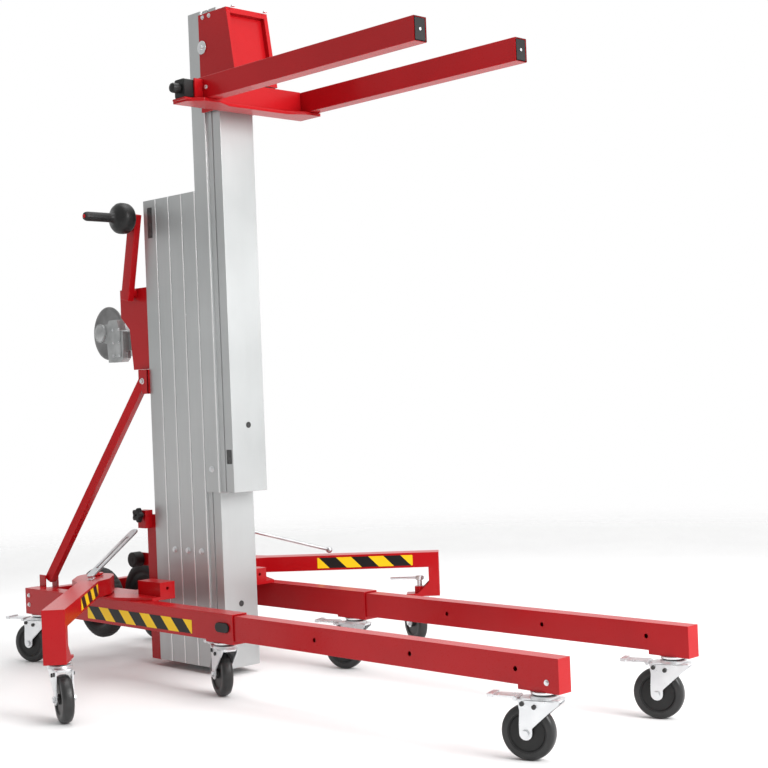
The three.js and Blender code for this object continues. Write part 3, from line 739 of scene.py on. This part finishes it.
def gearcase_details():
    """Ribs, a raised cover and cap screws on the near face of the winch's gear case."""
    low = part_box("winch_housing")[0]
    middle = Vector((low.x + GEAR_COVER["x"], low.y + CASE_PROUD, low.z + GEAR_COVER["z"]))
    outline = rectangle(GEAR_COVER["width"], GEAR_COVER["height"], 9 * MM, 6)
    cover = prism("gear_cover", outline, 0, GEAR_COVER["proud"], 0.9 * MM, 3)
    put("gear_cover", cover, facing(middle, NEAR_SIDE, ALONG), "base", CASTING)
    for x in (-16, 16):
        for z in (-41, 0, 41):
            spot = middle + Vector((x * MM, -GEAR_COVER["proud"], z * MM))
            put(f"cover_screw_{x}_{z}", CAP_SCREW, facing(spot, NEAR_SIDE), "base", ZINC)
    for i in range(CASE_RIBS["count"]):
        rib = prism(f"case_rib_{i}", rectangle(3.2 * MM, 24 * MM, 1.2 * MM, 3), 0, 2.0 * MM, 0.6 * MM)
        aside = (CASE_RIBS["start"] + CASE_RIBS["pitch"] * i) * MM
        spot = middle + Vector((aside, 0, -CASE_RIBS["drop"]))
        put(f"case_rib_{i}", rib, facing(spot, NEAR_SIDE, ALONG), "base", CASTING)


winch_drum()
winch_disc()
hub_cap()
gearcase_details()


# ---------------------------------------------------------------- brace clevis
# How far the clevis reaches from the mast, its height, its cheeks' middles and outer faces, and its bolt.
CLEVIS = {
    "reach": 48 * MM, "height": 76 * MM, "cheek": 17.5 * MM, "face": 19.6 * MM,
    "bolt_out": 27 * MM, "bolt_down": 36 * MM,
}


def brace_clevis():
    """The red bracket on the mast that the top of the brace is bolted into."""
    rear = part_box("mast_column_1")[0].x - 0.3 * MM
    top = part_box("winch_bracket")[0].z - 1 * MM
    centre_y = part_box("brace")[1].y - 14 * MM
    reach = CLEVIS["reach"]
    height = CLEVIS["height"]
    outline = [(0, 0), (0, -height), (reach * 0.55, -height), (reach, -48 * MM), (reach, 0)]
    cheek = prism("clevis_cheek", outline, -2 * MM, 2 * MM, 0.8 * MM)
    stand = Matrix(((-1, 0, 0, rear), (0, 0, 1, 0), (0, 1, 0, top), (0, 0, 0, 1)))
    for i, side in enumerate((-1, 1)):
        shift = Matrix.Translation((0, centre_y + side * CLEVIS["cheek"], 0))
        put(f"clevis_cheek_{i}", cheek, shift @ stand, "base", RED)
        spot = (rear - CLEVIS["bolt_out"], centre_y + side * CLEVIS["face"], top - CLEVIS["bolt_down"])
        bolt(f"clevis_bolt_{i}", spot, (0, side, 0), "base")
    web = prism("clevis_web", rectangle(39 * MM, height, 2 * MM, 3), 0, 4 * MM, 0.8 * MM)
    matrix = facing((rear, centre_y, top - height / 2), -ALONG, ACROSS)
    put("clevis_web", web, matrix, "base", RED)


brace_clevis()


# ---------------------------------------------------------------- hazard tape
TAPE_LIFT = 0.4 * MM
ARM_TAPES = {"near": {"centre": 0.305, "length": 0.30}, "far": {"centre": 0.472, "length": 0.31}}
ARM_TAPE_WIDTH = 34 * MM
ARM_TAPE_DROP = 24 * MM
# The rail tape's ends are measured along X from a point this far ahead of the first column.
TAPE_ORIGIN = 67 * MM
RAIL_TAPE = {"from": -0.274, "to": 0.248, "drop": 10 * MM, "width": 38 * MM}


def tape_strip(name, place, normal, along, length, width, body):
    mesh = prism(name, rectangle(length, width, 1.5 * MM, 3), 0, 0.25 * MM)
    matrix = facing(Vector(place) + Vector(normal).normalized() * TAPE_LIFT, normal, along)
    put(name, mesh, matrix, body, TAPE)


def arm_frame(side):
    """Pivot, direction and forward normal of a stabilizer arm."""
    pivot = joint_point(f"stabilizer_{side}_swing")
    tip = joint_point(f"levelling_{side}_turn")
    along = tip - pivot
    along.z = 0
    along.normalize()
    front = UP.cross(along) * (1 if side == "near" else -1)
    return pivot, along, front


def tapes():
    """Strips on the front of each arm and on the outer face of each rail."""
    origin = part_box("mast_column_1")[1].x + TAPE_ORIGIN
    for side, sign in (("near", -1), ("far", 1)):
        pivot, along, front = arm_frame(side)
        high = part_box(f"stabilizer_{side}")[1]
        tape = ARM_TAPES[side]
        place = pivot + along * tape["centre"] + front * ARM_HALF
        place.z = high.z - ARM_TAPE_DROP
        run = along if side == "near" else -along
        body = f"stabilizer_{side}"
        tape_strip(f"tape_arm_{side}", place, front, run, tape["length"], ARM_TAPE_WIDTH, body)
        low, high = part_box(f"lock_button_{side}")
        face = sign * (abs(joint_point(f"sleeve_{side}_swivel").y) + RAIL_HALF)
        middle = origin + (RAIL_TAPE["from"] + RAIL_TAPE["to"]) / 2
        spot = Vector((middle, face, (low.z + high.z) / 2 - RAIL_TAPE["drop"]))
        length = RAIL_TAPE["to"] - RAIL_TAPE["from"]
        outward = Vector((0, sign, 0))
        width = RAIL_TAPE["width"]
        tape_strip(f"tape_rail_{side}", spot, outward, ALONG * -sign, length, width, "base")


tapes()


# ---------------------------------------------------------------- small fittings
LEG_BOLT_HEIGHT = 178 * MM


def end_caps():
    """Plastic plugs in the open ends of the forks."""
    for side in ("near", "far"):
        low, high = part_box(f"fork_{side}")
        centre = (low + high) / 2
        width = high.y - low.y
        height = high.z - low.z
        outline = rectangle(width - 7 * MM, height - 7 * MM, 3 * MM)
        plug = prism(f"fork_cap_{side}", outline, -20 * MM, -1 * MM, 1 * MM)
        matrix = facing((high.x, centre.y, centre.z), ALONG, ACROSS)
        put(f"fork_cap_{side}", plug, matrix, "carriage", PLASTIC)
        dot = lathe(f"fork_cap_dot_{side}", in_mm([(0.5, -1), (4, -1), (4, 0), (0.5, 0.2)]), 24)
        put(f"fork_cap_dot_{side}", dot, matrix, "carriage", ZINC)


end_caps()


def rail_bolts():
    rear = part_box("rail_near")[0].x
    rail_face = joint_point("rear_near_swivel").y - RAIL_HALF
    tube_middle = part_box("lock_button_near")[0].z + 13 * MM
    for i, z in enumerate((-14, 16)):
        spot = (rear + 22 * MM, rail_face, tube_middle + z * MM)
        bolt(f"rail_bolt_{i}", spot, NEAR_SIDE, "base", small=True)


def head_bolts():
    low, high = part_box("head_shell")
    for i, y in enumerate((-60, 60)):
        bolt(f"head_bolt_{i}", (high.x - 24 * MM, y * MM, high.z), UP, "carriage", small=True)
    for i, x in enumerate((22, 52)):
        spot = (low.x + x * MM, low.y, high.z - 10 * MM)
        bolt(f"head_cheek_bolt_{i}", spot, NEAR_SIDE, "carriage", small=True)


def fork_bolts(side, sign):
    low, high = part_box(f"fork_{side}")
    outer = low.y if sign < 0 else high.y
    for i, x in enumerate((30, 62)):
        spot = (low.x + x * MM, outer, (low.z + high.z) / 2)
        bolt(f"fork_bolt_{side}_{i}", spot, (0, sign, 0), "carriage", small=True)


def arm_bolts(side):
    pivot, along = arm_frame(side)[:2]
    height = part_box(f"stabilizer_{side}")[1].z
    top = Vector((pivot.x, pivot.y, 0)) + UP * height
    for i, reach in enumerate((62, 96)):
        bolt(f"arm_bolt_{side}_{i}", top + along * reach * MM, UP, f"stabilizer_{side}")


def leg_bolt(side, sign):
    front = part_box(f"leg_{side}")[1].x
    outer = sign * (abs(joint_point(f"front_{side}_swivel").y) + LEG_HALF)
    spot = (front - 34 * MM, outer, LEG_BOLT_HEIGHT)
    bolt(f"leg_bolt_{side}", spot, (0, sign, 0), f"leg_{side}", small=True)


rail_bolts()
head_bolts()
for fork_side, fork_sign in (("near", -1), ("far", 1)):
    fork_bolts(fork_side, fork_sign)
    arm_bolts(fork_side)
    leg_bolt(fork_side, fork_sign)


# ---------------------------------------------------------------- mast details
COLUMN_BODIES = {1: "base", 2: "column_2", 3: "column_3", 4: "column_4", 5: "carriage"}
# The guide wings on each column: front edge and middle, back from the column's front, and half their span.
WING_FRONT = 62.4 * MM
WING_MIDDLE = 95 * MM
WING_FACE = 67.2 * MM
SLIDER_BOLTS = {2: 345 * MM, 3: 345 * MM, 4: 345 * MM, 5: 69 * MM}
FRONT_HOLES = {4: 188 * MM, 5: 196 * MM}
SERIAL_LABEL = {"width": 24 * MM, "height": 94 * MM, "drop": 70 * MM}
FOOT_LABEL = {"width": 24 * MM, "height": 42 * MM, "back": 18 * MM, "rise": 105 * MM}


def mast_seams():
    """A rounded lip down the front edge of each column's guide wings, in a lighter copy of the aluminium: its
    brightness is a painted highlight.
    """
    for index, body in COLUMN_BODIES.items():
        low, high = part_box(f"mast_column_{index}")
        length = high.z - low.z - 1 * MM
        mesh = prism(f"seam_{index}", rectangle(4.5 * MM, 2.2 * MM, 0.9 * MM, 4), -length / 2, length / 2)
        for side in (-1, 1):
            x = high.x - WING_FRONT - 2 * MM
            place = Vector((x, side * (WING_FACE + 0.5 * MM), (low.z + high.z) / 2))
            put(f"seam_{index}_{side + 1}", mesh, Matrix.Translation(place), body, HIGHLIGHT_LIP)


def label(name, size, place, body):
    """A blank dark sheet on the near side of the mast."""
    sheet = prism(name, rectangle(size["width"], size["height"], 2 * MM, 3), 0, 0.3 * MM)
    put(name, sheet, facing(place, NEAR_SIDE, ALONG), body, LABEL)


def mast_details():
    """Slider bolts in the guide wings, black discs as painted shade for the holes in two front faces, and two
    blank labels.
    """
    hole = lathe("column_hole_shade", in_mm([(0.5, 0), (9, 0), (9, 0.4), (0.5, 0.4)]), 40)
    for index, body in COLUMN_BODIES.items():
        low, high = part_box(f"mast_column_{index}")
        if index in SLIDER_BOLTS:
            for side in (-1, 1):
                spot = (high.x - WING_MIDDLE, side * WING_FACE, low.z + SLIDER_BOLTS[index])
                bolt(f"slider_bolt_{index}_{side + 1}", spot, (0, side, 0), body)
        # A thin black disc on the front face: painted shade standing in for the inside of a hole.
        if index in FRONT_HOLES:
            spot = (high.x, 0, low.z + FRONT_HOLES[index])
            put(f"column_hole_shade_{index}", hole, facing(spot, ALONG), body, BLACK)
    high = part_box("mast_column_1")[1]
    spot = (high.x - WING_MIDDLE, -WING_FACE, high.z - SERIAL_LABEL["drop"])
    label("serial_label", SERIAL_LABEL, spot, "base")
    low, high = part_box("mast_column_5")
    spot = (high.x - FOOT_LABEL["back"], -COLUMN_HALF, low.z + FOOT_LABEL["rise"])
    label("foot_label", FOOT_LABEL, spot, "carriage")


mast_seams()
mast_details()


# ---------------------------------------------------------------- camera, light and floor
def camera():
    data = bpy.data.cameras.new("camera")
    data.lens = CAMERA["lens"]
    data.sensor_width = 36
    data.clip_end = 200
    thing = bpy.data.objects.new("camera", data)
    bpy.context.scene.collection.objects.link(thing)
    turn = Matrix.Rotation(math.radians(CAMERA["heading"]), 4, "Z")
    lean = Matrix.Rotation(math.radians(90 + CAMERA["tilt"]), 4, "X")
    roll = Matrix.Rotation(math.radians(CAMERA["roll"]), 4, "Z")
    thing.matrix_world = Matrix.Translation(CAMERA["place"]) @ turn @ lean @ roll
    bpy.context.scene.camera = thing


def area_light(name, place, target, size, power):
    data = bpy.data.lights.new(name, "AREA")
    data.shape = "RECTANGLE"
    data.size = size[0]
    data.size_y = size[1]
    data.energy = power
    thing = bpy.data.objects.new(name, data)
    bpy.context.scene.collection.objects.link(thing)
    away = Vector(place) - Vector(target)
    thing.matrix_world = facing(place, away)


def floor():
    """A pale round floor that thins out to nothing, so that no horizon shows."""
    material, shader = surface(
        "studio_floor", grey(0.84), grey(0.86), (0.75, 0.85), 0.0, 40.0, patches=2.0,
        depth=0.0001, strength=0.05,
    )
    tree = material.node_tree
    place = tree.nodes.new("ShaderNodeTexCoord")
    reach = tree.nodes.new("ShaderNodeVectorMath")
    reach.operation = "LENGTH"
    fade = tree.nodes.new("ShaderNodeMapRange")
    fade.interpolation_type = "SMOOTHSTEP"
    fade.inputs["From Min"].default_value = FLOOR_SOLID
    fade.inputs["From Max"].default_value = FLOOR_END
    fade.inputs["To Min"].default_value = 1.0
    fade.inputs["To Max"].default_value = 0.0
    tree.links.new(place.outputs["Object"], reach.inputs[0])
    tree.links.new(reach.outputs["Value"], fade.inputs["Value"])
    tree.links.new(fade.outputs["Result"], shader.inputs["Alpha"])
    mesh = prism("studio_floor", polygon(FLOOR_END, 96), -0.01, 0)
    thing = bpy.data.objects.new("studio_floor", mesh)
    mesh.materials.append(material)
    bpy.context.scene.collection.objects.link(thing)


def world():
    """A white room, darker towards the operator's right."""
    sky = bpy.data.worlds.new("studio")
    sky.use_nodes = True
    tree = sky.node_tree
    background = tree.nodes["Background"]
    place = tree.nodes.new("ShaderNodeTexCoord")
    split = tree.nodes.new("ShaderNodeSeparateXYZ")
    tree.links.new(place.outputs["Generated"], split.inputs["Vector"])
    span = tree.nodes.new("ShaderNodeMapRange")
    span.inputs["From Min"].default_value = -1.0
    span.inputs["From Max"].default_value = 1.0
    tree.links.new(split.outputs["Y"], span.inputs["Value"])
    shade = ramp(tree, span.outputs["Result"], [(0.08, grey(0.40)), (0.46, grey(1.0))])
    tree.links.new(shade, background.inputs["Color"])
    background.inputs["Strength"].default_value = 1.0
    bpy.context.scene.world = sky
    bpy.context.scene.view_settings.view_transform = "Standard"


camera()
floor()
world()
for lamp_name, lamp in LAMPS.items():
    area_light(lamp_name, lamp["place"], LAMP_TARGET, lamp["size"], lamp["power"])
